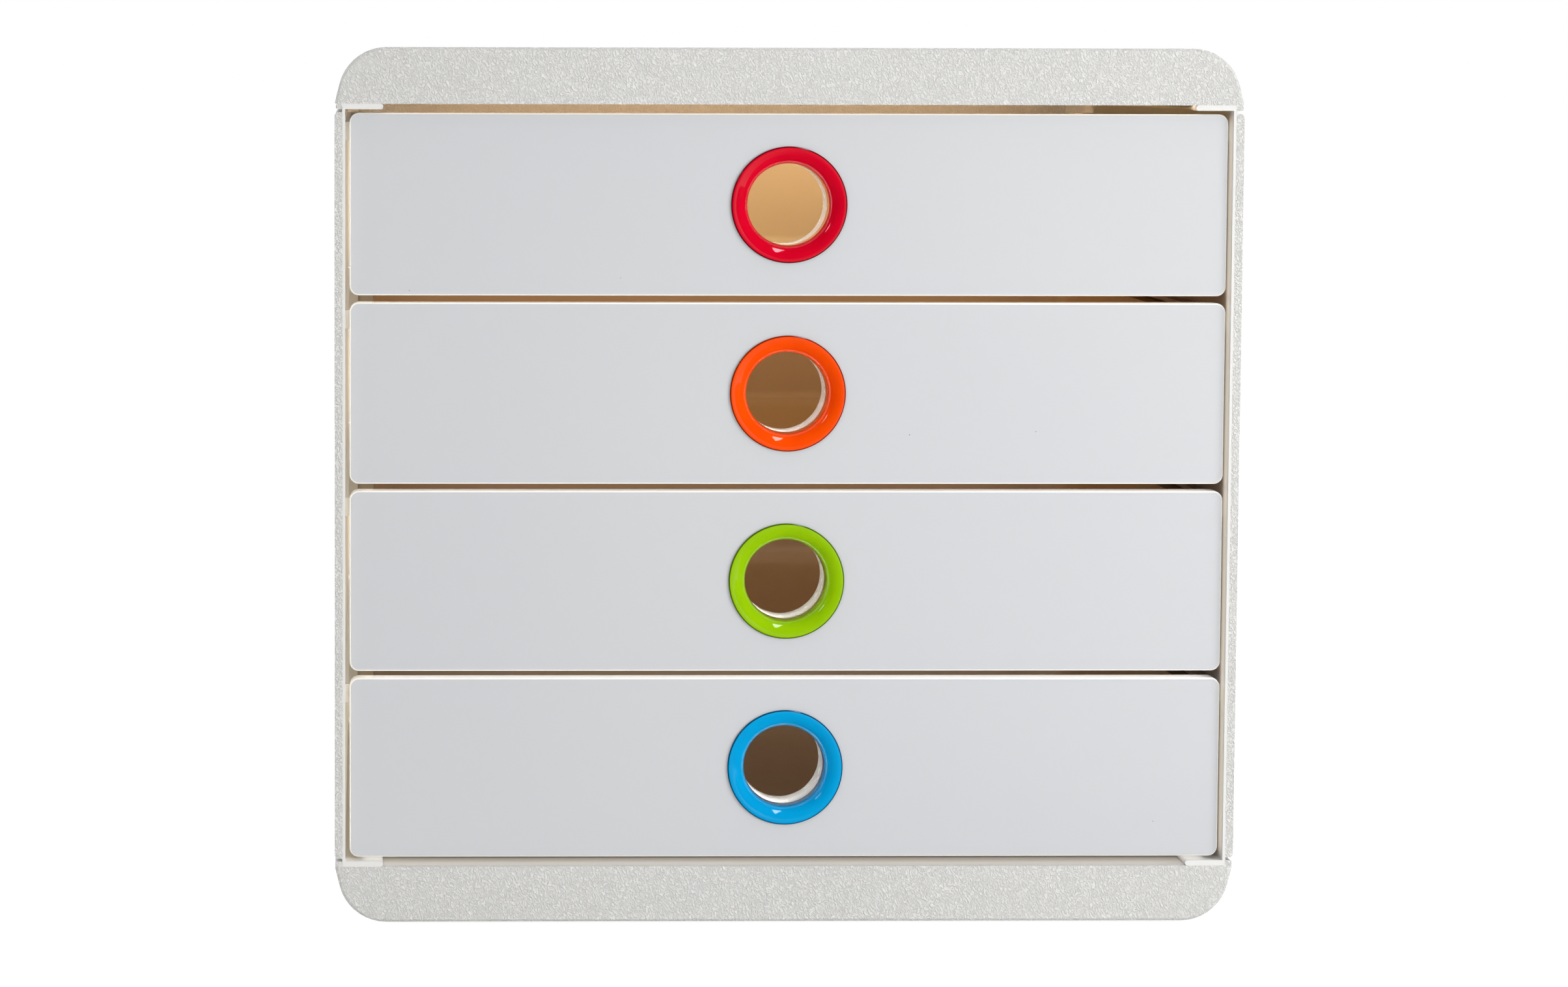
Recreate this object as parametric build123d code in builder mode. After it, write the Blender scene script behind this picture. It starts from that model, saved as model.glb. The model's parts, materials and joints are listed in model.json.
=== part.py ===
"""Desktop box of four shallow drawers, each with a round coloured finger ring.

Millimetres. X is the width, +Y points to the back, Z is up. The origin is on the
surface that the feet stand on, under the middle of the casing.
"""

from build123d import *
import os
from math import ceil, radians, tan

os.makedirs("parts", exist_ok=True)

# ---- Driving dimensions ------------------------------------------------------

# Casing
case_width = 290.0
case_depth = 355.0
cap_height = 18.0  # the top cover and the base are the same height
cap_lean = 14.0  # degrees that a cap's lower side leans inwards from upright
cap_corner_radius = 15.4
cap_wall = 2.4
cap_edge_chamfer = 0.8  # front and back edge of a cap's broad face
cap_foot_rounding = 0.5  # outer edge of a cap at the parting line
cap_rib_pitch = 50.0  # largest gap between the ribs inside a cap
cap_rib_thickness = 1.4
liner_thickness = 2.0  # flat plate that closes a cap towards the drawers
liner_clearance = 0.2

# Side panels: a C-shaped section, standing between the caps
panel_skin = 2.4  # outer, grained layer of the wall
panel_core = 1.0  # inner layer, which carries the flanges
panel_corner = 1.4  # rounded outer edge of the wall, top and bottom
flange_reach = 15.5  # from the casing's outer side
flange_thickness = 1.7
flange_notch = 0.9  # groove between the flange's lip and the wall's end
flange_lip_setback = 0.4

# Tongues that tie the flanges to the caps
tongue_length = 22.0
tongue_thickness = 2.4
tongue_height = 8.0
tongue_inset = 9.0  # middle of a tongue, from the casing's outer side
tongue_spacing = 118.0
tongue_clearance = 0.15
tongues_per_flange = 3
socket_wall = 1.5

# Back panel, held in grooves near the panels' rear edges
back_thickness = 2.2
back_recess = 3.0
back_clearance = 0.15
back_field_margin = 16.0
back_field_depth = 0.8
back_field_corner = 8.0
groove_rib_thickness = 1.8
groove_rib_height = 4.0

# Rubber feet
foot_radius = 7.0
foot_proud = 0.8
foot_recess = 1.2
foot_inset_x = 33.0
foot_inset_y = 25.0
foot_chamfer = 0.4

# Drawers
drawer_count = 4
front_height = 58.0
front_gap = 2.3  # between one drawer front and the next
end_gap = 2.85  # between the outermost fronts and the caps
front_side_gap = 1.4
front_recess = 2.0  # behind the casing's front edges
front_thickness = 2.2
front_depth = 8.0  # depth of the turned-back edges
front_edge_wall = 1.8
front_corner = 3.0
front_chamfer = 0.45
front_rib_thickness = 1.6
front_rib_spacing = 42.0
front_ribs_per_side = 3

# Tray
tray_wall = 1.8
tray_floor = 1.8
tray_draft = 1.5  # degrees
tray_corner = 7.0
tray_floor_radius = 3.0
tray_floor_height = 2.6  # underside of the floor, above the front's lower edge
tray_rim_height = 53.0  # top of the rim, above the front's lower edge
tray_rim_thickness = 1.8
tray_rear_gap = 4.0
rim_overhang = 3.0  # rim beyond the rear wall
plate_thickness = 2.0  # the tray's front wall, which the drawer front caps
plate_clearance = 0.2

# Runners on the side panels
ledge_width = 6.5
ledge_thickness = 1.8
ledge_run_gap = 0.25  # under the tray's rim
keeper_width = 4.0
keeper_thickness = 1.5
keeper_gap = 0.6  # above the tray's rim
tray_side_gap = 0.9  # between the tray's wall and the ledges
stop_height = 1.8
stop_length = 3.0
rim_stop_gap = 0.4  # between the rim and the stops that it passes
ear_side_gap = 0.4
ear_length = 8.0
closed_gap = 0.3
open_gap = 0.3
drawer_travel = 255.0

# Finger ring and the sleeve that clamps it from inside
ring_radius = 18.6
ring_proud = 0.8
ring_land = 0.9  # narrow flat lip outside the flare
ring_lip_chamfer = 0.4
throat_radius = 13.1
quarter_round = 0.5523  # handle length of a Bezier curve that follows a quarter circle
throat_end_radius = 12.95
ring_depth = 9.0
ring_fit = 0.2  # ring body in the front's hole
ring_body_radius = 16.7
spigot_wall = 1.7
socket_fit = 0.1  # ring's spigot in the sleeve, a push fit
sleeve_wall = 1.9
sleeve_bore_step = 0.1
sleeve_length = 25.0  # rear end, behind the front's face
sleeve_flange_radius = 21.0
sleeve_flange_thickness = 1.6
sleeve_hole_fit = 0.2
sleeve_chamfer = 0.5
hub_wall = 1.6

# ---- Worked-out places -------------------------------------------------------

half_width = case_width / 2
front_edge = -case_depth / 2
rear_edge = case_depth / 2
bay_height = (
    drawer_count * front_height + (drawer_count - 1) * front_gap + 2 * end_gap
)
bay_low = foot_proud + cap_height
bay_high = bay_low + bay_height
mid_height = (bay_low + bay_high) / 2
panel_wall = panel_skin + panel_core
inner_side = half_width - panel_wall  # inner face of a side panel

front_face = front_edge + front_recess
front_width = 2 * (inner_side - front_side_gap)
front_back = front_face + front_depth
plate_back = front_back - plate_clearance
plate_front = plate_back - plate_thickness

back_outer = rear_edge - back_recess
back_inner = back_outer - back_thickness
tray_rear = back_inner - tray_rear_gap

ledge_start = front_back + closed_gap
ledge_end = back_inner - back_clearance - groove_rib_thickness
stop_back = ledge_start + stop_length
ear_start = stop_back + open_gap + drawer_travel

tray_half = inner_side - ledge_width - tray_side_gap
rim_half = inner_side - stop_height - rim_stop_gap
ear_half = inner_side - ear_side_gap

spigot_radius = throat_end_radius + spigot_wall
socket_radius = spigot_radius + socket_fit
nose_radius = socket_radius + sleeve_wall
sleeve_bore = throat_end_radius + sleeve_bore_step
sleeve_hole = nose_radius + sleeve_hole_fit
front_hole = ring_body_radius + ring_fit


def drawer_base(level):
    """Height of a drawer front's lower edge. Level 1 is the top drawer."""
    from_bottom = drawer_count - level
    return bay_low + end_gap + from_bottom * (front_height + front_gap)


def upright(y):
    """Plane across the casing at depth y, drawn in X and Z, facing the front."""
    return Plane.XZ.offset(-y)


def save(part, name):
    part.label = name
    export_step(part, f"parts/{name}.step")


# ---- Top cover: an open, ribbed shell whose ends lean in and round over --------

hollow_width = case_width - 2 * cap_wall
hollow_depth = case_depth - 2 * cap_wall
ribs_along = ceil(hollow_width / cap_rib_pitch) - 1
ribs_across = ceil(hollow_depth / cap_rib_pitch) - 1
tongue_x = half_width - tongue_inset
slot_width = tongue_thickness + 2 * tongue_clearance
slot_length = tongue_length + 2 * tongue_clearance
liner_top = bay_high + liner_thickness
liner_lean = liner_thickness * tan(radians(cap_lean))  # how far the skirt leans in over it
liner_width = hollow_width - 2 * liner_lean - 2 * liner_clearance


def cap_outline(drop, shrink):
    """Cap section drawn in X and Z, its sides run down past the parting line by drop."""
    foot_width = case_width + 2 * drop * tan(radians(cap_lean))
    with BuildSketch() as outline:
        with Locations((0, bay_high - drop)):
            Trapezoid(
                foot_width, cap_height + drop, 90 - cap_lean, align=(Align.CENTER, Align.MIN)
            )
        fillet(outline.vertices().group_by(Axis.Y)[-1], cap_corner_radius)
        if shrink:
            offset(amount=-shrink, mode=Mode.REPLACE)
    return outline.sketch


outer_outline = cap_outline(drop=0, shrink=0)
hollow_outline = cap_outline(drop=2 * cap_wall, shrink=cap_wall)

# Grid of ribs and sockets, standing on the liner and trimmed to the hollow
with BuildPart() as cap_ribs:
    with BuildSketch(Plane.XY.offset(liner_top)):
        with GridLocations(hollow_width / (ribs_along + 1), 0, ribs_along, 1):
            Rectangle(cap_rib_thickness, hollow_depth)
        with GridLocations(0, hollow_depth / (ribs_across + 1), 1, ribs_across):
            Rectangle(hollow_width, cap_rib_thickness)
        with GridLocations(2 * tongue_x, tongue_spacing, 2, tongues_per_flange):
            Rectangle(slot_width + 2 * socket_wall, slot_length + 2 * socket_wall)
    extrude(amount=cap_height)
    with BuildSketch(upright(front_edge + cap_wall)):
        add(hollow_outline)
    extrude(amount=-hollow_depth, mode=Mode.INTERSECT)

with BuildPart() as top_cover:
    with BuildSketch(upright(front_edge)):
        add(outer_outline)
    extrude(amount=-case_depth)
    broad_edges = top_cover.faces().sort_by(Axis.Z)[-1].edges()
    chamfer(broad_edges.filter_by(Axis.X), cap_edge_chamfer)
    parting_edges = top_cover.faces().sort_by(Axis.Z)[0].edges()
    fillet(parting_edges.filter_by(Axis.Y), cap_foot_rounding)

    # Hollow, open downwards, with the same wall all round
    with BuildSketch(upright(front_edge + cap_wall)):
        add(hollow_outline)
    extrude(amount=-hollow_depth, mode=Mode.SUBTRACT)

    add(cap_ribs.part)
    with BuildSketch(Plane.XY.offset(bay_high)):
        with GridLocations(2 * tongue_x, tongue_spacing, 2, tongues_per_flange):
            Rectangle(slot_width, slot_length)
    extrude(amount=tongue_height + tongue_clearance, mode=Mode.SUBTRACT)
save(top_cover.part, "top_cover")

# ---- Liners: flat plates in the mouths of the caps, slotted for the tongues ------

with BuildPart() as cover_liner:
    with BuildSketch(Plane.XY.offset(bay_high)):
        Rectangle(liner_width, hollow_depth - 2 * liner_clearance)
        with GridLocations(2 * tongue_x, tongue_spacing, 2, tongues_per_flange):
            Rectangle(slot_width, slot_length, mode=Mode.SUBTRACT)
    extrude(amount=liner_thickness)
save(cover_liner.part, "cover_liner")

with BuildPart() as base_liner:
    mirror(cover_liner.part, about=Plane.XY.offset(mid_height))
save(base_liner.part, "base_liner")

# ---- Base: the same moulding turned over, with seats for the feet --------------

foot_x = half_width - foot_inset_x
foot_y = case_depth / 2 - foot_inset_y

with BuildPart() as base_cover:
    mirror(top_cover.part, about=Plane.XY.offset(mid_height))
    with BuildSketch(Plane.XY.offset(foot_proud)):
        with GridLocations(2 * foot_x, 2 * foot_y, 2, 2):
            Circle(foot_radius)
    extrude(amount=foot_recess, mode=Mode.SUBTRACT)
save(base_cover.part, "base_cover")

with BuildPart() as rubber_feet:
    with BuildSketch():
        with GridLocations(2 * foot_x, 2 * foot_y, 2, 2):
            Circle(foot_radius)
    extrude(amount=foot_proud + foot_recess)
    chamfer(rubber_feet.faces().group_by(Axis.Z)[0].edges(), foot_chamfer)
save(rubber_feet.part, "rubber_feet")

# ---- Side panels: C-section with runners, stops, tongues and a rear groove ------

skin_height = bay_height - 2 * (flange_thickness + flange_notch)
flange_length = flange_reach - flange_lip_setback
outer_side = -half_width

with BuildPart() as left_side_panel:
    with BuildSketch(upright(front_edge)) as wall_section:
        with Locations((outer_side + panel_skin / 2, mid_height)):
            Rectangle(panel_skin, skin_height)
        fillet(wall_section.vertices().group_by(Axis.X)[0], panel_corner)
        with Locations((outer_side + panel_skin + panel_core / 2, mid_height)):
            Rectangle(panel_core, bay_height)
    extrude(amount=-case_depth)

    # Flanges with a full-round inner end and a short lip at the outside
    flange_middle = (bay_height - flange_thickness) / 2
    with BuildSketch(upright(front_edge)) as flanges:
        with Locations((outer_side + flange_lip_setback + flange_length / 2, mid_height)):
            with GridLocations(0, 2 * flange_middle, 1, 2):
                Rectangle(flange_length, flange_thickness)
        fillet(flanges.vertices().group_by(Axis.X)[-1], 0.49 * flange_thickness)
        fillet(flanges.vertices().group_by(Axis.X)[0], 0.35 * flange_thickness)
    extrude(amount=-case_depth)

    # Tongues up into the cover and down into the base
    for end, direction in ((bay_high, 1), (bay_low, -1)):
        with BuildSketch(Plane.XY.offset(end)):
            with Locations((-tongue_x, 0)):
                with GridLocations(0, tongue_spacing, 1, tongues_per_flange):
                    Rectangle(tongue_thickness, tongue_length)
        extrude(amount=direction * tongue_height)
    tongue_tips = left_side_panel.faces().sort_by(Axis.Z)
    tip_faces = tongue_tips[:tongues_per_flange] + tongue_tips[-tongues_per_flange:]
    chamfer(tip_faces.edges().filter_by(Axis.Y), tongue_thickness / 4)

    # One channel per drawer: a ledge under the tray's rim, a keeper above it
    for level in range(1, drawer_count + 1):
        rim_top = drawer_base(level) + tray_rim_height
        ledge_top = rim_top - tray_rim_thickness - ledge_run_gap
        keeper_base = rim_top + keeper_gap
        with BuildSketch(upright(ledge_start)):
            with Locations((-inner_side, ledge_top)):
                Rectangle(ledge_width, ledge_thickness, align=(Align.MIN, Align.MAX))
            with Locations((-inner_side, keeper_base)):
                Rectangle(keeper_width, keeper_thickness, align=Align.MIN)
        extrude(amount=ledge_start - ledge_end)
        with BuildSketch(upright(ledge_start)):
            with Locations((-inner_side, ledge_top)):
                Rectangle(stop_height, keeper_base - ledge_top, align=Align.MIN)
        extrude(amount=-stop_length)

    # Two upright ribs make the groove for the back panel
    for groove_rib in (ledge_end, back_outer + back_clearance):
        with BuildSketch(upright(groove_rib)):
            with Locations((-inner_side, mid_height)):
                Rectangle(
                    groove_rib_height,
                    bay_height - 2 * flange_thickness,
                    align=(Align.MIN, Align.CENTER),
                )
        extrude(amount=-groove_rib_thickness)
save(left_side_panel.part, "left_side_panel")

with BuildPart() as right_side_panel:
    mirror(left_side_panel.part, about=Plane.YZ)
save(right_side_panel.part, "right_side_panel")

# ---- Back panel: full height between the flanges, lower where they pass ---------

with BuildPart() as back_panel:
    with BuildSketch(upright(back_inner)):
        with Locations((0, mid_height)):
            Rectangle(
                2 * (inner_side - back_clearance),
                bay_height - 2 * (flange_thickness + back_clearance),
            )
            Rectangle(
                2 * (half_width - flange_reach - back_clearance),
                bay_height - 2 * back_clearance,
            )
    extrude(amount=-back_thickness)
    with BuildSketch(upright(back_outer)):
        with Locations((0, mid_height)):
            RectangleRounded(
                2 * (inner_side - back_field_margin),
                bay_height - 2 * back_field_margin,
                back_field_corner,
            )
    extrude(amount=back_field_depth, mode=Mode.SUBTRACT)
save(back_panel.part, "back_panel")

# ---- Drawers -------------------------------------------------------------------

draft_slope = tan(radians(tray_draft))
tray_back = tray_rear - rim_overhang  # outer face of the rear wall, at the rim
rim_front = front_back + plate_clearance
inside_width = front_width - 2 * front_edge_wall
inside_height = front_height - 2 * front_edge_wall
inside_corner = max(front_corner - front_edge_wall, 0.4)


def drafted_outline(half, back, corner):
    """Tray section in X and Y, drawn long at the front and rounded at the back."""
    with BuildSketch() as outline:
        with Locations((0, back)):
            Rectangle(2 * half, 2 * case_depth, align=(Align.CENTER, Align.MAX))
        fillet(outline.vertices().group_by(Axis.Y)[-1], corner)
    return outline.sketch


def make_tray(level):
    """Open tray that hangs by its rim, with the plate that carries the front."""
    base = drawer_base(level)
    floor_base = base + tray_floor_height
    floor_top = floor_base + tray_floor
    rim_top = base + tray_rim_height
    rim_base = rim_top - tray_rim_thickness
    body_inset = draft_slope * (rim_top - floor_base)
    cavity_inset = draft_slope * (rim_top - floor_top) + tray_wall
    body = drafted_outline(tray_half - body_inset, tray_back - body_inset, tray_corner)
    hollow = drafted_outline(
        tray_half - cavity_inset, tray_back - cavity_inset, tray_corner - tray_wall
    )

    with BuildPart() as cavity:
        with BuildSketch(Plane.XY.offset(floor_top)):
            add(hollow)
        extrude(amount=rim_top - floor_top, taper=-tray_draft)
        fillet(cavity.faces().sort_by(Axis.Z)[0].edges(), tray_floor_radius)

    with BuildPart() as tray:
        with BuildSketch(Plane.XY.offset(floor_base)):
            add(body)
        extrude(amount=rim_top - floor_base, taper=-tray_draft)
        with BuildSketch(Plane.XY.offset(rim_base)) as rim:
            with Locations((0, rim_front)):
                Rectangle(2 * rim_half, tray_rear - rim_front, align=(Align.CENTER, Align.MIN))
            fillet(rim.vertices().group_by(Axis.Y)[-1], tray_corner + rim_overhang)
        extrude(amount=tray_rim_thickness)
        add(cavity.part, mode=Mode.SUBTRACT)
        split(bisect_by=upright(plate_front), keep=Keep.BOTTOM)

        # Ears on the rim, which meet the panels' stops when the drawer is open
        with BuildSketch(Plane.XY.offset(rim_base)) as ears:
            with Locations((0, ear_start)):
                Rectangle(2 * ear_half, ear_length, align=(Align.CENTER, Align.MIN))
                Rectangle(
                    2 * tray_half, ear_length, align=(Align.CENTER, Align.MIN), mode=Mode.SUBTRACT
                )
            outer_corners = ears.vertices().sort_by(Axis.X)
            lead_ins = (outer_corners[:2] + outer_corners[-2:]).group_by(Axis.Y)[-1]
            chamfer(lead_ins, ear_half - rim_half)
        extrude(amount=tray_rim_thickness)

        # Front plate, which fills the drawer front and takes the sleeve
        with BuildSketch(upright(plate_front)):
            with Locations((0, base + front_height / 2)):
                RectangleRounded(
                    inside_width - 2 * plate_clearance,
                    inside_height - 2 * plate_clearance,
                    inside_corner,
                )
        extrude(amount=-plate_thickness)
        with BuildSketch(upright(plate_front)):
            with Locations((0, base + front_height / 2)):
                Circle(sleeve_hole)
        extrude(amount=-plate_thickness, mode=Mode.SUBTRACT)
    return tray.part


def make_front(level):
    """Drawer front: a shallow cap with ribs and a hub behind the finger hole."""
    middle = drawer_base(level) + front_height / 2
    rib_reach = plate_front - front_face - front_thickness
    with BuildPart() as front:
        with BuildSketch(upright(front_face)):
            with Locations((0, middle)):
                RectangleRounded(front_width, front_height, front_corner)
        extrude(amount=-front_depth)
        chamfer(front.faces().sort_by(Axis.Y)[0].edges(), front_chamfer)
        with BuildSketch(upright(front_face + front_thickness)):
            with Locations((0, middle)):
                RectangleRounded(inside_width, inside_height, inside_corner)
        extrude(amount=front_thickness - front_depth, mode=Mode.SUBTRACT)

        # Ribs and hub that the tray's plate seats on
        with BuildSketch(upright(front_face + front_thickness)):
            with Locations((0, middle)):
                with GridLocations(front_rib_spacing, 0, 2 * front_ribs_per_side + 1, 1):
                    Rectangle(front_rib_thickness, inside_height)
                Circle(sleeve_hole + hub_wall)
                Circle(sleeve_hole, mode=Mode.SUBTRACT)
        extrude(amount=-rib_reach)
        with BuildSketch(upright(front_face)):
            with Locations((0, middle)):
                Circle(front_hole)
        extrude(amount=-front_thickness, mode=Mode.SUBTRACT)
    return front.part


def make_ring(level):
    """Finger ring: a flat lip, a round flare and a throat that plugs the sleeve."""
    middle = drawer_base(level) + front_height / 2
    flare_start = ring_radius - ring_land
    flare_radius = flare_start - throat_radius
    flare_end = flare_radius - ring_proud
    handle = quarter_round * flare_radius
    with BuildPart() as ring:
        # Drawn with the radius along X and the depth along Y, then turned about the axis
        with BuildSketch(Plane((0, front_face, middle))) as section:
            with BuildLine():
                Polyline((ring_radius, 0), (ring_radius, -ring_proud), (flare_start, -ring_proud))
                Bezier(
                    (flare_start, -ring_proud),
                    (flare_start - handle, -ring_proud),
                    (throat_radius, flare_end - handle),
                    (throat_radius, flare_end),
                )
                Polyline(
                    (throat_radius, flare_end),
                    (throat_end_radius, ring_depth),
                    (spigot_radius, ring_depth),
                    (spigot_radius, front_thickness),
                    (ring_body_radius, front_thickness),
                    (ring_body_radius, 0),
                    (ring_radius, 0),
                )
            make_face()
            lip_corner = section.vertices().group_by(Axis.Y)[0].sort_by(Axis.X)[-1]
            chamfer(lip_corner, ring_lip_chamfer)
        revolve(axis=Axis((0, front_face, middle), (0, 1, 0)))
    return ring.part


def make_sleeve(level):
    """Tube behind the ring: its nose grips the ring, its flange holds the plate."""
    middle = drawer_base(level) + front_height / 2
    plate_rear = plate_back - front_face
    with BuildPart() as sleeve:
        with BuildSketch(Plane((0, front_face, middle))) as section:
            with BuildLine():
                Polyline(
                    (socket_radius, front_thickness + plate_clearance),
                    (nose_radius, front_thickness + plate_clearance),
                    (nose_radius, plate_rear),
                    (sleeve_flange_radius, plate_rear),
                    (sleeve_flange_radius, plate_rear + sleeve_flange_thickness),
                    (sleeve_bore + sleeve_wall, plate_rear + sleeve_flange_thickness),
                    (sleeve_bore + sleeve_wall, sleeve_length),
                    (sleeve_bore, sleeve_length),
                    (sleeve_bore, ring_depth + plate_clearance),
                    (socket_radius, ring_depth + plate_clearance),
                    close=True,
                )
            make_face()
            chamfer(section.vertices().group_by(Axis.Y)[-1], sleeve_chamfer)
        revolve(axis=Axis((0, front_face, middle), (0, 1, 0)))
    return sleeve.part


for drawer in range(1, drawer_count + 1):
    save(make_tray(drawer), f"drawer_{drawer}_tray")
    save(make_front(drawer), f"drawer_{drawer}_front")
    save(make_ring(drawer), f"drawer_{drawer}_ring")
    save(make_sleeve(drawer), f"drawer_{drawer}_sleeve")
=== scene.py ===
import json
from math import atan, radians

import bmesh
import bpy
from mathutils import Euler, Matrix, Vector


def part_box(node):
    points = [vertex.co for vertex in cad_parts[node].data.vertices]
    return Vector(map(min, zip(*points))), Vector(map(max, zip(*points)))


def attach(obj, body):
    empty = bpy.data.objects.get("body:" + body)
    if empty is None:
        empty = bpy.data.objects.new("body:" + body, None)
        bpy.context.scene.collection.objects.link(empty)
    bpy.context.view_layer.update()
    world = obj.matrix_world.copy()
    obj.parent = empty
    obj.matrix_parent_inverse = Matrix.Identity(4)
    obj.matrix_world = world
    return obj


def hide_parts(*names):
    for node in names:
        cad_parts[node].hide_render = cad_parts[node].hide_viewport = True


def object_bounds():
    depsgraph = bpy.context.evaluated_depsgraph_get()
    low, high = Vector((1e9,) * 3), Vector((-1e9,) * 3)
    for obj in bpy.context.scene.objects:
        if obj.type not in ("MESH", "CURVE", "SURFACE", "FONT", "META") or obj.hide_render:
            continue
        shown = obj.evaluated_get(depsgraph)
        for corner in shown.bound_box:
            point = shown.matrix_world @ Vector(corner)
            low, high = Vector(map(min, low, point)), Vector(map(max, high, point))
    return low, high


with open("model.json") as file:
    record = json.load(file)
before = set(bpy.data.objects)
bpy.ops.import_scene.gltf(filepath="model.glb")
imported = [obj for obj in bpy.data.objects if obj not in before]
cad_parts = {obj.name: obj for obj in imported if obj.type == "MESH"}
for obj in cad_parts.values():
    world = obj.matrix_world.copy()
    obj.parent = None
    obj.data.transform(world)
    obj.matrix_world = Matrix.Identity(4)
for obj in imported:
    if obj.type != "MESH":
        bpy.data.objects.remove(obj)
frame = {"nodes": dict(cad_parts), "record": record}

cadLow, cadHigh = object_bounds()
nodes = frame["nodes"]
mm = 0.001
print("frame loaded:", len(nodes), "nodes")


# shader helpers

class Wire:
    # a node's output that can stand in a Python expression
    def __init__(self, graph, socket):
        self.graph = graph
        self.socket = socket

    def maths(self, operation, first, second=0.0):
        return self.graph.node("ShaderNodeMath", {"operation": operation}, {0: first, 1: second})

    def __add__(self, other):
        return self.maths("ADD", self, other)

    def __radd__(self, other):
        return self.maths("ADD", other, self)

    def __sub__(self, other):
        return self.maths("SUBTRACT", self, other)

    def __rsub__(self, other):
        return self.maths("SUBTRACT", other, self)

    def __mul__(self, other):
        return self.maths("MULTIPLY", self, other)

    def __abs__(self):
        return self.maths("ABSOLUTE", self)

    def atLeast(self, other):
        return self.maths("MAXIMUM", self, other)

    def __gt__(self, other):
        return self.maths("GREATER_THAN", self, other)

    def __lt__(self, other):
        return self.maths("LESS_THAN", self, other)


class Graph:
    # one material's or the world's node tree
    def __init__(self, owner):
        owner.use_nodes = True
        self.owner = owner
        self.tree = owner.node_tree

    def node(self, kind, settings=None, inputs=None, output=0):
        made = self.tree.nodes.new(kind)
        for name, value in (settings or {}).items():
            setattr(made, name, value)
        for name, value in (inputs or {}).items():
            self.feed(made.inputs[name], value)
        return Wire(self, made.outputs[output])

    def feed(self, socket, value):
        if isinstance(value, Wire):
            self.tree.links.new(value.socket, socket)
        else:
            socket.default_value = value

    def surface(self, shader):
        self.feed(self.tree.nodes["Material Output"].inputs["Surface"], shader)


class Finish(Graph):
    # a Principled material; constants go on the shader's own sockets
    def __init__(self, name, **constants):
        super().__init__(bpy.data.materials.new(name))
        self.shader = self.tree.nodes["Principled BSDF"]
        for socket, value in constants.items():
            self.shader.inputs[socket.replace("_", " ")].default_value = value

    def place(self):
        return self.node("ShaderNodeTexCoord", output="Object")

    def noise(self, at, scale, detail=2.0, distortion=0.0):
        return self.node("ShaderNodeTexNoise", None, {
            "Vector": at, "Scale": scale, "Detail": detail, "Distortion": distortion})

    def blend(self, share, first, second):
        # sockets 6 and 7 take the colours, output 2 gives the mixed one
        return self.node("ShaderNodeMix", {"data_type": "RGBA"}, {0: share, 6: first, 7: second}, 2)

    def between(self, value, low, high):
        return self.node("ShaderNodeMapRange", {"interpolation_type": "SMOOTHSTEP"}, {
            "Value": value, "From Min": low, "From Max": high})

    def axes(self, at):
        parts = self.node("ShaderNodeSeparateXYZ", None, {0: at})
        return [Wire(self, socket) for socket in parts.socket.node.outputs]

    def bump(self, height, strength, distance):
        normal = self.node("ShaderNodeBump", None, {
            "Height": height, "Strength": strength, "Distance": distance})
        self.feed(self.shader.inputs["Normal"], normal)

    def drive(self, **links):
        for socket, value in links.items():
            self.feed(self.shader.inputs[socket.replace("_", " ")], value)


def rgb(red, green, blue):
    return (red, green, blue, 1.0)


def bareMaterial(name):
    # a material without a shader, for the floor and the cards
    paint = Graph(bpy.data.materials.new(name))
    paint.tree.nodes.remove(paint.tree.nodes["Principled BSDF"])
    return paint


# camera

camera = dict(
    left=0.136,          # of the box's middle, so that its left side stays out of view
    above=0.137,         # over the box's middle, so that its top stays out of view
    distance=1.56,       # in front of the drawer fronts
    frontWidth=0.290,    # real width of the casing's front edge
    frontPixels=1388.0,  # the same width in the photograph
    imageWidth=2408.0,
    aimPixels=(1209.5, 750.0),  # the front's middle in the photograph
    imageMiddle=(1204.0, 757.5),
    shift=0.20,          # lens shift to the right, of the image's width
    roll=0.12,           # degrees
    sensorWidth=36.0,    # millimetres
    aimRounds=6,
)


def makeCamera(plan):
    middle = (cadLow + cadHigh) / 2
    target = Vector((middle.x, cadLow.y, middle.z))
    place = target + Vector((-plan["left"], -plan["distance"], plan["above"]))
    data = bpy.data.cameras.new("camera")
    data.sensor_width = plan["sensorWidth"]
    data.sensor_fit = "HORIZONTAL"
    reach = (target - place).length
    share = plan["frontPixels"] / plan["imageWidth"]
    data.lens = plan["sensorWidth"] * share * reach / plan["frontWidth"]
    data.shift_x = plan["shift"]
    # turn the camera, held level, until the front's middle falls on its pixel, shift included
    wantedX = (plan["aimPixels"][0] - plan["imageMiddle"][0]) / plan["imageWidth"] + plan["shift"]
    wantedY = (plan["imageMiddle"][1] - plan["aimPixels"][1]) / plan["imageWidth"]
    yaw = pitch = 0.0
    for aimRound in range(plan["aimRounds"]):
        turned = Euler((radians(90) + pitch, 0, yaw)).to_matrix()
        seen = turned.transposed() @ (target - place)
        yaw += atan(wantedX * plan["sensorWidth"] / data.lens) - atan(seen.x / -seen.z)
        pitch -= atan(wantedY * plan["sensorWidth"] / data.lens) - atan(seen.y / -seen.z)
    turned = turned @ Matrix.Rotation(radians(plan["roll"]), 3, "Z")
    body = bpy.data.objects.new("camera", data)
    bpy.context.scene.collection.objects.link(body)
    body.matrix_world = Matrix.Translation(place) @ turned.to_4x4()
    bpy.context.scene.camera = body


makeCamera(camera)
print("camera placed")


# stage and light

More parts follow.
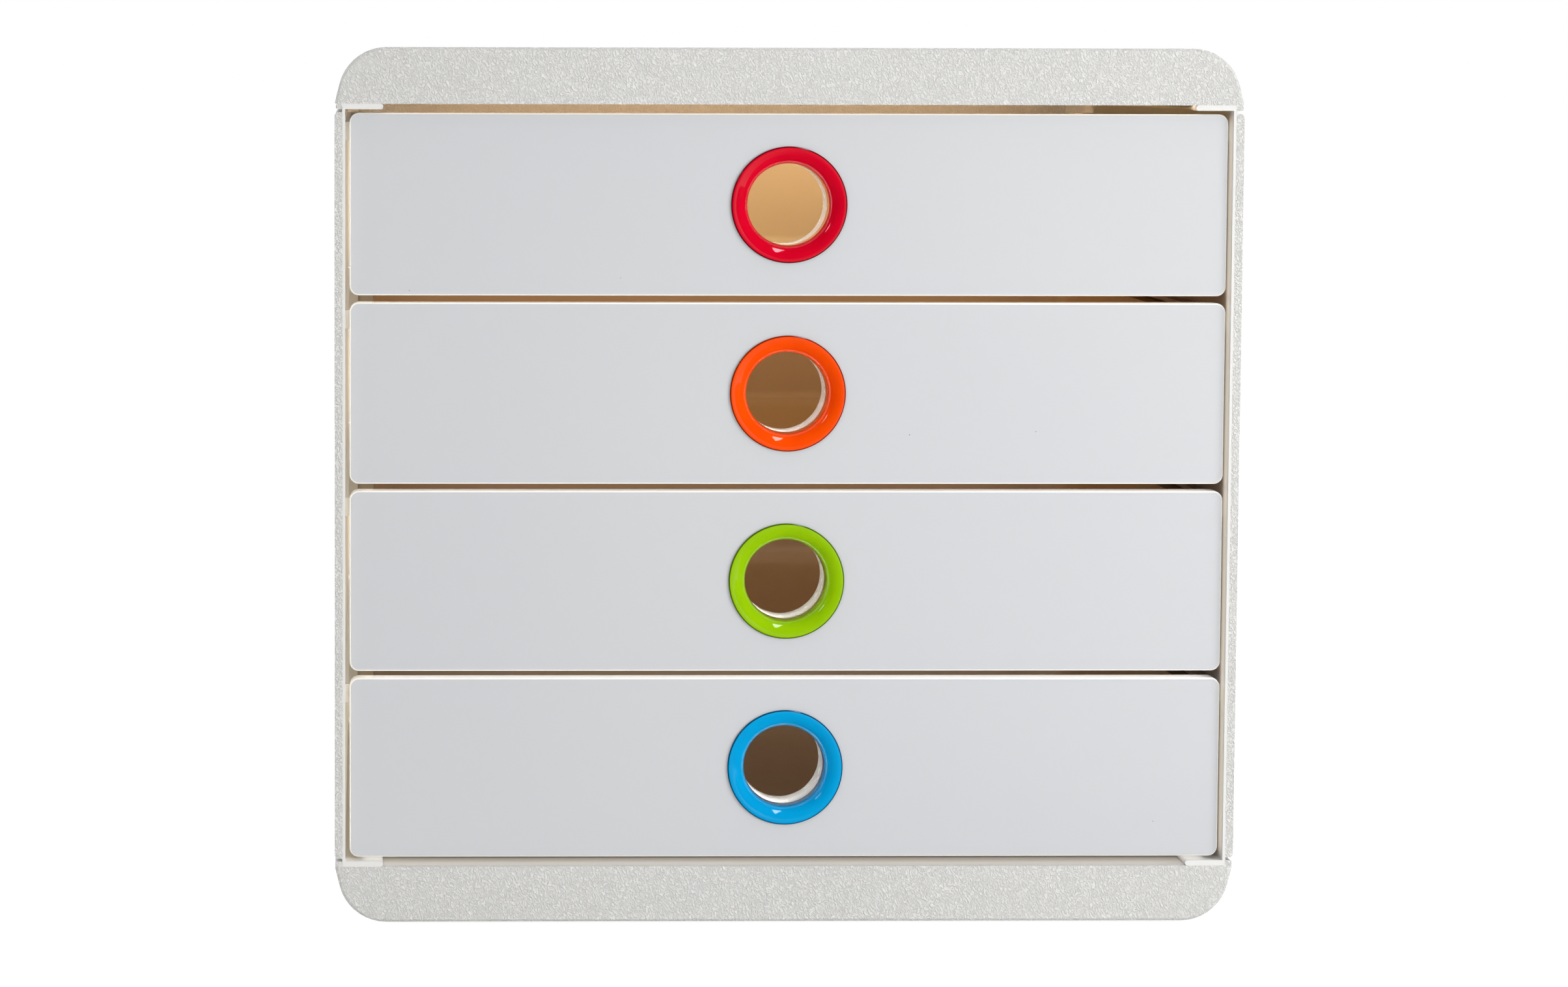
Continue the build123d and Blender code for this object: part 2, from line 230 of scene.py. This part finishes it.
studio = dict(
    floorSize=60.0,
    floorColour=rgb(0.82, 0.82, 0.82),
    floorGlow=0.68,     # share of plain white where the camera looks at the floor
    floorWhite=1.36,    # makes up for the darker floor under it
    worldLight=0.32,
    roomSize=(6.0, 3.4, 3.6),
    roomGap=1 * mm,     # between the dark room and the front of the box
    roomLift=2 * mm,    # of the dark room over the floor
    cardWidth=0.75,     # pale card that the polished fronts mirror, brighter to the right
    cardMiddle=0.22,
    cardHeight=0.45,
    cardBack=1.60,      # in front of the drawer fronts
    cardReach=1.35,     # how far its lying part comes towards them
    cardLift=4 * mm,
    cardGlow=1.0,
    cardColour=rgb(1.0, 0.985, 0.95),
    # small overhead card, mirrored at the foot of each ring's flare
    kite=((0.19, -0.20), (0.36, -0.14), (0.54, -0.34), (0.45, -1.20)),
    kiteHeight=1.31,
    kiteGlow=12.0,
    kiteColour=rgb(0.93, 0.97, 1.0),
)
lamps = {
    # name: place, size in metres, watts, whether polished surfaces mirror it
    "keySoftbox": ((1.10, -1.00, 0.22), (0.80, 0.80), 12.4, False),
    "frontFill": ((-1.05, -1.25, 0.95), (0.35, 0.35), 2.6, False),
    "floorBounce": ((0.25, -1.15, 0.04), (0.80, 0.30), 2.4, False),
    "overheadSoftbox": ((0.36, -0.42, 1.30), (0.42, 1.00), 4.6, False),
    "stripLight": ((-0.95, -0.34, 0.80), (0.035, 0.26), 0.8, True),
    "rearSoftbox": ((0.20, 1.70, 0.90), (0.90, 0.90), 16.0, False),
    "leftSoftbox": ((-1.60, 0.30, 0.60), (0.80, 0.80), 8.0, False),
}
glow = dict(
    # daylight that comes through the casing's plastic, warm and weaker from drawer to drawer
    size=(0.25, 0.29),
    back=0.010,             # of the casing's middle
    drop=1.5 * mm,          # under the tray's rim
    watts=(0.082, 0.060, 0.028, 0.014),
    colours=((1.0, 0.78, 0.48), (1.0, 0.52, 0.20), (1.0, 0.53, 0.22), (1.0, 0.54, 0.26)),
    rearSize=(0.25, 0.006),
    rearGap=45 * mm,        # from the tray's rear end
    rearRise=4 * mm,        # over the tray's rim
    rearAim=(0, 1, -0.25),
    rearWatts=(0.072, 0.011, 0.013, 0.018),
    rearColours=((1.0, 0.70, 0.44), (1.0, 0.78, 0.62), (1.0, 0.84, 0.80), (0.92, 0.90, 1.0)),
    # seams above, between and under the fronts: depth behind their faces, size from front to back
    seamWidth=0.272,
    seams=((3.4 * mm, 6.0 * mm),) * 4 + ((7.5 * mm, 14.0 * mm),),
    seamWatts=(0.0070, 0.0048, 0.0052, 0.0060, 0.0064),
    seamColours=((1.0, 0.76, 0.52), (1.0, 0.84, 0.72), (1.0, 0.88, 0.82), (1.0, 0.94, 0.94),
                 (1.0, 0.97, 0.96)),
    hair=0.1 * mm,          # keeps a lamp clear of the face that it lies on
    # the upright gaps at the sides of the fronts
    endMargin=24 * mm,      # both ends together, where the lamps stop short of the panels'
    sideDepth=3.6 * mm,
    sideSize=6.0 * mm,
    sideWatts=0.0021,
    sideColour=(1.0, 0.88, 0.74),
    deepPlace=(0.7 * mm, 0.6 * mm),   # out from and behind the fronts' left edge
    deepSize=1.1 * mm,
    deepWatts=0.0045,
    ribDepth=2 * mm,        # of the upright rib in front of the back panel
    rearRib=14 * mm,        # from that rib
    rearRibSize=5.0 * mm,
    rearRibWatts=0.0160,
    # along the left panel's inner face, which shows through the left gap
    wallThickness=3.4 * mm,
    wallGap=1.1 * mm,
    wallLength=0.33,
    wallWatts=0.115,
    wallColour=(1.0, 0.93, 0.83),
    # inside each sleeve, low and to the left
    sleeveOffset=(-4.0 * mm, 9.0 * mm, -5.0 * mm),
    sleeveSize=7.0 * mm,
    sleeveWatts=0.0042,
    sleeveColour=(1.0, 0.97, 0.93),
)


def makeFloor(plan):
    grid = bmesh.new()
    bmesh.ops.create_grid(grid, x_segments=1, y_segments=1, size=plan["floorSize"] / 2)
    mesh = bpy.data.meshes.new("floor")
    grid.to_mesh(mesh)
    grid.free()
    floor = bpy.data.objects.new("floor", mesh)
    bpy.context.scene.collection.objects.link(floor)
    paint = bareMaterial("floorPaint")
    seen = paint.node("ShaderNodeLightPath", output="Is Camera Ray")
    mirrored = paint.node("ShaderNodeLightPath", output="Is Glossy Ray")
    matt = paint.node("ShaderNodeBsdfDiffuse", None, {"Color": plan["floorColour"]})
    white = paint.node("ShaderNodeEmission", None, {
        "Color": rgb(1, 1, 1), "Strength": plan["floorWhite"]})
    share = (seen + mirrored) * plan["floorGlow"]
    mixed = paint.node("ShaderNodeMixShader", None, {0: share, 1: matt, 2: white})
    paint.surface(mixed)
    mesh.materials.append(paint.owner)


def makeWorld(plan):
    world = bpy.data.worlds.new("studioWorld")
    bpy.context.scene.world = world
    sky = Graph(world)
    rays = ("Is Camera Ray", "Is Glossy Ray", "Is Transmission Ray")
    camera, glossy, through = [sky.node("ShaderNodeLightPath", output=ray) for ray in rays]
    strength = (camera + glossy + through) * (1.0 - plan["worldLight"]) + plan["worldLight"]
    sky.feed(sky.tree.nodes["Background"].inputs["Strength"], strength)
    sky.tree.nodes["Background"].inputs["Color"].default_value = rgb(1, 1, 1)


def mirroredOnly(name, shape, material):
    # a studio aid that shows only in polished surfaces
    mesh = bpy.data.meshes.new(name)
    shape.to_mesh(mesh)
    shape.free()
    aid = bpy.data.objects.new(name, mesh)
    bpy.context.scene.collection.objects.link(aid)
    mesh.materials.append(material)
    aid.visible_camera = False
    aid.visible_diffuse = False
    aid.visible_shadow = False


def makeDarkRoom(plan):
    # the unlit half of the studio, round the camera, open towards the object
    width, depth, height = plan["roomSize"]
    shell = bmesh.new()
    bmesh.ops.create_cube(shell, size=1.0)
    towardsBox = [face for face in shell.faces if face.normal.y > 0.5]
    bmesh.ops.delete(shell, geom=towardsBox, context="FACES")
    bmesh.ops.scale(shell, vec=(width, depth, height), verts=shell.verts)
    middle = Vector((0, cadLow.y - plan["roomGap"] - depth / 2, plan["roomLift"] + height / 2))
    bmesh.ops.translate(shell, vec=middle, verts=shell.verts)
    cloth = satinPlastic("darkCloth", rgb(0.02, 0.02, 0.02), rgb(0.03, 0.03, 0.03), 0.8)
    mirroredOnly("darkRoom", shell, cloth)


def makeCard(plan):
    # stands up from the floor, and lies on it towards the object
    card = bmesh.new()
    back = cadLow.y - plan["cardBack"]
    left = plan["cardMiddle"] - plan["cardWidth"] / 2
    ends = [card.verts.new((x, back, plan["cardHeight"])) for x in (left, left + plan["cardWidth"])]
    edge = card.edges.new(ends)
    for step in ((0, 0, plan["cardLift"] - plan["cardHeight"]), (0, plan["cardReach"], 0)):
        pulled = bmesh.ops.extrude_edge_only(card, edges=[edge])["geom"]
        moved = [item for item in pulled if isinstance(item, bmesh.types.BMVert)]
        bmesh.ops.translate(card, vec=step, verts=moved)
        edge = next(item for item in pulled if isinstance(item, bmesh.types.BMEdge))
    paint = bareMaterial("cardPaint")
    at = paint.node("ShaderNodeTexCoord", output="Object")
    across = paint.node("ShaderNodeSeparateXYZ", None, {0: at})
    rise = paint.node("ShaderNodeMapRange", {"interpolation_type": "SMOOTHSTEP"}, {
        "Value": across, "From Min": left, "From Max": left + plan["cardWidth"]})
    glowing = paint.node("ShaderNodeEmission", None, {
        "Color": plan["cardColour"], "Strength": rise * plan["cardGlow"]})
    paint.surface(glowing)
    mirroredOnly("paleCard", card, paint.owner)


def makeKite(plan):
    kite = bmesh.new()
    corners = [kite.verts.new((x, y, plan["kiteHeight"])) for x, y in plan["kite"]]
    bmesh.ops.contextual_create(kite, geom=corners)
    paint = bareMaterial("kitePaint")
    glowing = paint.node("ShaderNodeEmission", None, {
        "Color": plan["kiteColour"], "Strength": plan["kiteGlow"]})
    paint.surface(glowing)
    mirroredOnly("kiteCard", kite, paint.owner)


def makeLamp(name, place, target, size, watts, colour=(1.0, 1.0, 1.0), mirrored=False):
    data = bpy.data.lights.new(name, "AREA")
    data.shape = "RECTANGLE"
    data.size, data.size_y = size
    data.energy = watts
    data.color = colour
    lamp = bpy.data.objects.new(name, data)
    bpy.context.scene.collection.objects.link(lamp)
    lamp.location = place
    lamp.rotation_euler = (Vector(target) - Vector(place)).to_track_quat("-Z", "Y").to_euler()
    lamp.visible_camera = False
    lamp.visible_glossy = mirrored


def makeGlow(plan):
    for level in range(1, 5):
        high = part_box(f"drawer_{level}_tray")[1]
        place = Vector((0, plan["back"], high.z - plan["drop"]))
        makeLamp(f"glow{level}", place, place - Vector((0, 0, 1)), plan["size"],
                 plan["watts"][level - 1], plan["colours"][level - 1])
        # on the upper part of the rear wall, which shows through the seam above the front
        place = Vector((0, high.y - plan["rearGap"], high.z + plan["rearRise"]))
        makeLamp(f"rearGlow{level}", place, place + Vector(plan["rearAim"]), plan["rearSize"],
                 plan["rearWatts"][level - 1], plan["rearColours"][level - 1])


def makeSeamGlow(plan):
    # under the cover and under each front, on the edge below
    ceilings = [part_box("cover_liner")[0].z]
    ceilings += [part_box(f"drawer_{level}_front")[0].z for level in range(1, 5)]
    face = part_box("drawer_1_front")[0].y
    for seam, ceiling in enumerate(ceilings):
        depth, size = plan["seams"][seam]
        place = Vector((0, face + depth, ceiling - plan["hair"]))
        makeLamp(f"seamGlow{seam}", place, place - Vector((0, 0, 1)), (plan["seamWidth"], size),
                 plan["seamWatts"][seam], plan["seamColours"][seam])


def makeSideGlow(plan):
    # on the right panel's inner face, into the left gap, on the rib at its rear end and along
    # the left panel's inner face
    panelLow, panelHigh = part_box("left_side_panel")
    low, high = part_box("drawer_1_front")
    tall = panelHigh.z - panelLow.z - plan["endMargin"]
    middle = (cadLow.z + cadHigh.z) / 2
    out, behind = plan["deepPlace"]
    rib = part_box("back_panel")[0].y - plan["ribDepth"]
    wall = panelLow.x + plan["wallThickness"]
    colour = plan["sideColour"]
    strips = {
        # name: place across and in depth, direction, width, watts, colour
        "sideGlow": (high.x + plan["hair"], low.y + plan["sideDepth"], (1, 0, 0),
                     plan["sideSize"], plan["sideWatts"], colour),
        "deepGlow": (low.x - out, low.y + behind, (0, 1, 0),
                     plan["deepSize"], plan["deepWatts"], colour),
        "rearRibGlow": (low.x, rib - plan["rearRib"], (0, 1, 0),
                        plan["rearRibSize"], plan["rearRibWatts"], colour),
        "leftWallGlow": (wall + plan["wallGap"], 0, (-1, 0, 0),
                         plan["wallLength"], plan["wallWatts"], plan["wallColour"]),
    }
    for name, (across, depth, direction, width, watts, colour) in strips.items():
        place = Vector((across, depth, middle))
        makeLamp(name, place, place + Vector(direction), (width, tall), watts, colour)


def makeSleeveGlow(plan):
    for level in range(1, 5):
        low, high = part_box(f"drawer_{level}_front")
        centre = Vector(((low.x + high.x) / 2, low.y, (low.z + high.z) / 2))
        place = centre + Vector(plan["sleeveOffset"])
        makeLamp(f"sleeveGlow{level}", place, place + Vector((0, 1, 0)),
                 (plan["sleeveSize"], plan["sleeveSize"]), plan["sleeveWatts"],
                 plan["sleeveColour"])


makeFloor(studio)
makeWorld(studio)
for lampName, (place, size, watts, mirrored) in lamps.items():
    makeLamp(lampName, place, (cadLow + cadHigh) / 2, size, watts, mirrored=mirrored)
makeGlow(glow)
makeSeamGlow(glow)
makeSideGlow(glow)
makeSleeveGlow(glow)
bpy.context.scene.view_settings.view_transform = "Standard"
print("studio lit")


# finishes

grain = dict(
    colour=rgb(0.825, 0.820, 0.798),
    # darker colour, for random cloudy tone and for the painted shade in the furrows
    shade=rgb(0.560, 0.550, 0.525),
    strokesPerMetre=1900.0,
    lengthways=2.3,      # strokes are longer than wide
    lean=-32.0,          # degrees from upright
    turn=18.0,           # degrees about the X axis
    wander=0.5,
    furrowLevel=0.47,    # of the noise, where a furrow runs
    furrow=0.085,        # half its width, in the noise's own units
    strokeHeight=1.6,
    furrowHeight=0.35,
    cloudScale=9.0,
    cloudTone=0.08,      # share of the shade colour
    # painted shade: share of the shade colour in the furrows, darker as if shadowed
    furrowShadeTone=0.42,
    furrowRoughness=0.10,
    smoothGain=0.14,     # taken off the roughness where the plastic is smooth
    skinDepth=2.55 * mm,  # of a side panel's grained outer skin
    depth=0.36 * mm,
    strength=1.0,
    roughness=0.50,
)


def grainedPlastic(name, plan, mask=None):
    # leather-like moulded grain; mask(x) is 1 where the plastic is smooth
    finish = Finish(name, IOR=1.49, Specular_IOR_Level=0.42)
    at = finish.place()
    leaning = finish.node("ShaderNodeMapping", {"vector_type": "TEXTURE"}, {
        "Vector": at, "Rotation": (radians(plan["turn"]), radians(plan["lean"]), 0),
        "Scale": (1.0, 1.0, plan["lengthways"])})
    strokes = finish.noise(leaning, plan["strokesPerMetre"], detail=1.2, distortion=plan["wander"])
    furrows = 1.0 - finish.between(abs(strokes - plan["furrowLevel"]), 0.0, plan["furrow"])
    height = strokes * plan["strokeHeight"] - furrows * plan["furrowHeight"]
    cloud = finish.noise(at, plan["cloudScale"], detail=1.0)
    # random cloudy tone plus painted shade in the grain's furrows
    tone = finish.between(cloud, 0.35, 0.65) * plan["cloudTone"] + furrows * plan["furrowShadeTone"]
    rough = plan["roughness"] + furrows * plan["furrowRoughness"]
    if mask:
        smooth = mask(finish.axes(at)[0])
        height = height * (1.0 - smooth)
        rough = rough - smooth * plan["smoothGain"]
        tone = tone * (1.0 - smooth)
    finish.drive(Base_Color=finish.blend(tone, plan["colour"], plan["shade"]), Roughness=rough)
    finish.bump(height, plan["strength"], plan["depth"])
    return finish.owner


def innerSkin(x):
    # the side panels are smooth inside their grained outer skin
    return abs(x) < cadHigh.x - grain["skinDepth"]


fronts = dict(
    colour=rgb(0.660, 0.670, 0.688),
    cool=rgb(0.637, 0.648, 0.672),
    speck=rgb(0.16, 0.14, 0.12),
    # painted highlight colour for the fronts' rounded edges
    edge=rgb(0.93, 0.925, 0.895),
    edgeHighlightWidth=0.42 * mm,   # painted highlight, pale all round where light would catch a rounded edge
    corner=3.0 * mm,
    roughness=0.13,
    hazeScale=60.0,
    hazeRoughness=0.06,
    speckRoughness=0.3,
    speckScale=75.0,       # cells per metre, of which few have a speck
    speckSize=0.016,
    speckLot=0.86,         # a cell's lot has to be over this
    speckTone=0.75,
    driftScale=7.0,
    driftTone=0.5,
    waveScale=26.0,
    waveStrength=0.10,
    waveDepth=0.4 * mm,
)


def rimOf(x, z, box, corner, width):
    # 1 along the outline of a rounded plate, 0 inside it
    low, high = box
    across = (abs(x - (low.x + high.x) / 2) - ((high.x - low.x) / 2 - corner)).atLeast(0.0)
    up = (abs(z - (low.z + high.z) / 2) - ((high.z - low.z) / 2 - corner)).atLeast(0.0)
    return (across * across + up * up) > (corner - width) ** 2


def polishedWhite(name, plan, box):
    finish = Finish(name, IOR=1.52)
    at = finish.place()
    x, z = finish.axes(at)[::2]
    # painted highlight: a pale band along each front's rounded outline
    rim = rimOf(x, z, box, plan["corner"], plan["edgeHighlightWidth"])
    drift = finish.between(finish.noise(at, plan["driftScale"], detail=1.0), 0.3, 0.7)
    # a few dust specks, far apart and of uneven size
    cells = {"Vector": at, "Scale": plan["speckScale"]}
    dots = finish.node("ShaderNodeTexVoronoi", {"feature": "F1"}, cells)
    lots = finish.node("ShaderNodeTexVoronoi", {"feature": "F1"}, cells, 1)
    specks = (dots < plan["speckSize"]) * (finish.axes(lots)[0] > plan["speckLot"])
    tone = finish.blend(drift * plan["driftTone"], plan["colour"], plan["cool"])
    specked = finish.blend(specks * plan["speckTone"], tone, plan["speck"])
    haze = finish.noise(at, plan["hazeScale"], detail=3.0)
    finish.drive(
        Base_Color=finish.blend(rim, specked, plan["edge"]),
        Roughness=(haze * plan["hazeRoughness"] + plan["roughness"]
                   + specks * plan["speckRoughness"]),
    )
    finish.bump(finish.noise(at, plan["waveScale"], detail=1.0),
                plan["waveStrength"], plan["waveDepth"])
    return finish.owner


ringColours = {
    "ring_red": (rgb(0.700, 0.0010, 0.020), rgb(0.440, 0.0008, 0.012)),
    "ring_orange": (rgb(0.980, 0.078, 0.0010), rgb(0.800, 0.040, 0.0008)),
    "ring_green": (rgb(0.315, 0.570, 0.0020), rgb(0.210, 0.440, 0.0015)),
    "ring_blue": (rgb(0.0010, 0.360, 0.720), rgb(0.0008, 0.220, 0.560)),
}

ringFinish = dict(
    outline=0.40 * mm,       # width of the painted shadow line round the outer edge, shade in the gap at the proud lip
    outlineShadowShare=0.30,       # of the deep colour
    flowScale=85.0,
    deepShare=0.22,
    roughness=0.03,
    hazeScale=400.0,
    hazeRoughness=0.04,
    waveScale=240.0,
    waveStrength=0.05,
    waveDepth=0.2 * mm,
)


def polishedColour(name, plan, colour, deep, box):
    finish = Finish(name, IOR=1.50, Specular_IOR_Level=0.42)
    at = finish.place()
    x, z = finish.axes(at)[::2]
    radius = (box[1].x - box[0].x) / 2
    # painted shadow: a dark line round the ring's outer edge, where the gap at the proud lip is in
    # shade
    outline = rimOf(x, z, box, radius, plan["outline"])
    dark = rgb(*[plan["outlineShadowShare"] * channel for channel in deep[:3]])
    flow = finish.between(finish.noise(at, plan["flowScale"], detail=2.0), 0.35, 0.75)
    tone = finish.blend(flow * plan["deepShare"], colour, deep)
    haze = finish.noise(at, plan["hazeScale"], detail=2.0)
    finish.drive(
        Base_Color=finish.blend(outline, tone, dark),
        Roughness=haze * plan["hazeRoughness"] + plan["roughness"],
    )
    finish.bump(finish.noise(at, plan["waveScale"], detail=1.0),
                plan["waveStrength"], plan["waveDepth"])
    return finish.owner


satin = dict(
    cloudScale=14.0,
    shadeShare=0.6,
    hazeScale=300.0,
    hazeRoughness=0.12,
    waveScale=900.0,
    waveDepth=0.1 * mm,
)


def satinPlastic(name, colour, shade, roughness, waviness=0.08):
    finish = Finish(name, IOR=1.49)
    at = finish.place()
    cloud = finish.between(finish.noise(at, satin["cloudScale"], detail=2.0), 0.3, 0.7)
    haze = finish.noise(at, satin["hazeScale"], detail=3.0)
    finish.drive(
        Base_Color=finish.blend(cloud * satin["shadeShare"], colour, shade),
        Roughness=haze * satin["hazeRoughness"] + roughness,
    )
    finish.bump(finish.noise(at, satin["waveScale"], detail=2.0), waviness, satin["waveDepth"])
    return finish.owner


finishes = {
    "casing_grained": grainedPlastic("grainedCasing", grain),
    "panel_grained": grainedPlastic("grainedPanel", grain, innerSkin),
    "casing_smooth": satinPlastic(
        "smoothCasing", rgb(0.74, 0.725, 0.69), rgb(0.71, 0.695, 0.655), 0.36),
    "tray_ivory": satinPlastic(
        "ivoryTray", rgb(0.70, 0.60, 0.44), rgb(0.66, 0.56, 0.40), 0.38),
    "sleeve_white": satinPlastic(
        "sleeveWhite", rgb(0.76, 0.755, 0.735), rgb(0.74, 0.73, 0.71), 0.20, 0.015),
    "feet_rubber": satinPlastic(
        "greyRubber", rgb(0.20, 0.20, 0.20), rgb(0.16, 0.16, 0.16), 0.70, 0.3),
}
makeDarkRoom(studio)
makeCard(studio)
makeKite(studio)
for level, (slotName, (colour, deep)) in enumerate(ringColours.items(), start=1):
    finishes[slotName] = polishedColour(slotName.replace("ring_", "polished_"), ringFinish,
                                        colour, deep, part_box(f"drawer_{level}_ring"))
    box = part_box(f"drawer_{level}_front")
    finishes[f"drawer_{level}_front"] = polishedWhite(f"polishedFront{level}", fronts, box)

slotOf = {part["node"]: part["material_slot"] for part in frame["record"]["subparts"]}


def dress(obj, material):
    obj.data.materials.clear()
    obj.data.materials.append(material)


for nodeName, obj in nodes.items():
    key = "panel_grained" if nodeName.endswith("side_panel") else slotOf[nodeName]
    dress(obj, finishes.get(nodeName) or finishes[key])
print("finishes assigned")


# finger rings and sleeves

spin = dict(
    weld=1e-7,              # joins the ends of a full turn
    near=1e-5,              # an edge this close to a rounding's place is rounded
    sharpAngle=35.0,        # degrees, over which an edge stays sharp
)
ring = dict(
    land=0.9 * mm,          # flat lip outside the flare
    proud=0.8 * mm,
    flareDepth=1.02,        # of the flare's radius, where the throat begins
    throat=13.1 * mm,
    throatEnd=12.95 * mm,
    spigot=14.65 * mm,
    body=16.7 * mm,
    frontWall=2.2 * mm,
    lipRounding=0.45 * mm,
    rearRounding=0.25 * mm,
    steps=160,
)
sleeve = dict(
    bore=13.05 * mm,
    wall=1.9 * mm,
    nose=16.65 * mm,
    noseStart=2.4 * mm,
    socket=14.75 * mm,
    socketEnd=9.2 * mm,
    flange=21.0 * mm,
    flangeStart=7.8 * mm,
    flangeEnd=9.4 * mm,
    rounding=0.6 * mm,
    flangeRounding=0.4 * mm,
    steps=128,
)


def spunPiece(name, outline, middle, steps, roundings):
    # outline is (radius, depth) about the Y axis; roundings are (radius, depth, offset, segments)
    shape = bmesh.new()
    corners = [shape.verts.new((middle.x + radius, depth, middle.z)) for radius, depth in outline]
    for index, corner in enumerate(corners):
        shape.edges.new((corner, corners[(index + 1) % len(corners)]))
    bmesh.ops.spin(shape, geom=list(shape.verts) + list(shape.edges), cent=middle, axis=(0, 1, 0),
                   angle=radians(360), steps=steps, use_merge=True, use_duplicate=False)
    bmesh.ops.remove_doubles(shape, verts=shape.verts, dist=spin["weld"])
    for radius, depth, size, segments in roundings:
        hoop = [edge for edge in shape.edges
                if all(isOn(end, middle, radius, depth) for end in edge.verts)]
        bmesh.ops.bevel(shape, geom=hoop, offset=size, offset_type="OFFSET", affect="EDGES",
                        segments=segments, profile=0.5, material=-1, clamp_overlap=False)
    bmesh.ops.recalc_face_normals(shape, faces=shape.faces)
    mesh = bpy.data.meshes.new(name)
    shape.to_mesh(mesh)
    shape.free()
    mesh.shade_smooth()
    mesh.set_sharp_from_angle(angle=radians(spin["sharpAngle"]))
    piece = bpy.data.objects.new(name, mesh)
    bpy.context.scene.collection.objects.link(piece)
    return piece


def isOn(vertex, middle, radius, depth):
    across = Vector((vertex.co.x - middle.x, vertex.co.z - middle.z)).length
    return abs(across - radius) < spin["near"] and abs(vertex.co.y - depth) < spin["near"]


def makeRing(level):
    low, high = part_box(f"drawer_{level}_ring")
    middle = Vector(((low.x + high.x) / 2, 0, (low.z + high.z) / 2))
    outer = (high.x - low.x) / 2
    lip = low.y
    face = lip + ring["proud"]
    flare = outer - ring["land"] - ring["throat"]
    outline = [
        (outer, face), (outer, lip), (ring["throat"], lip),
        (ring["throat"], lip + flare * ring["flareDepth"]),
        (ring["throatEnd"], high.y), (ring["spigot"], high.y),
        (ring["spigot"], face + ring["frontWall"]),
        (ring["body"], face + ring["frontWall"]), (ring["body"], face),
    ]
    roundings = [
        (ring["throat"], lip, flare, 14),
        (outer, lip, ring["lipRounding"], 4),
        (ring["throatEnd"], high.y, ring["rearRounding"], 2),
    ]
    piece = spunPiece(f"fingerRing{level}", outline, middle, ring["steps"], roundings)
    slotName = slotOf[f"drawer_{level}_ring"]
    dress(piece, finishes[slotName])
    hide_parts(f"drawer_{level}_ring")
    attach(piece, f"drawer_{level}")


def makeSleeve(level):
    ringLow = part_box(f"drawer_{level}_ring")[0]
    low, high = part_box(f"drawer_{level}_sleeve")
    middle = Vector(((low.x + high.x) / 2, 0, (low.z + high.z) / 2))
    face = ringLow.y + ring["proud"]
    tube = sleeve["bore"] + sleeve["wall"]
    outline = [
        (sleeve["socket"], face + sleeve["noseStart"]),
        (sleeve["nose"], face + sleeve["noseStart"]),
        (sleeve["nose"], face + sleeve["flangeStart"]),
        (sleeve["flange"], face + sleeve["flangeStart"]),
        (sleeve["flange"], face + sleeve["flangeEnd"]), (tube, face + sleeve["flangeEnd"]),
        (tube, high.y), (sleeve["bore"], high.y), (sleeve["bore"], face + sleeve["socketEnd"]),
        (sleeve["socket"], face + sleeve["socketEnd"]),
    ]
    roundings = [
        (sleeve["bore"], high.y, sleeve["rounding"], 4),
        (tube, high.y, sleeve["rounding"], 4),
        (sleeve["flange"], face + sleeve["flangeEnd"], sleeve["flangeRounding"], 2),
    ]
    piece = spunPiece(f"ringSleeve{level}", outline, middle, sleeve["steps"], roundings)
    dress(piece, finishes["sleeve_white"])
    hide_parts(f"drawer_{level}_sleeve")
    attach(piece, f"drawer_{level}")


for level in range(1, 5):
    makeRing(level)
    makeSleeve(level)
print("rings and sleeves made")
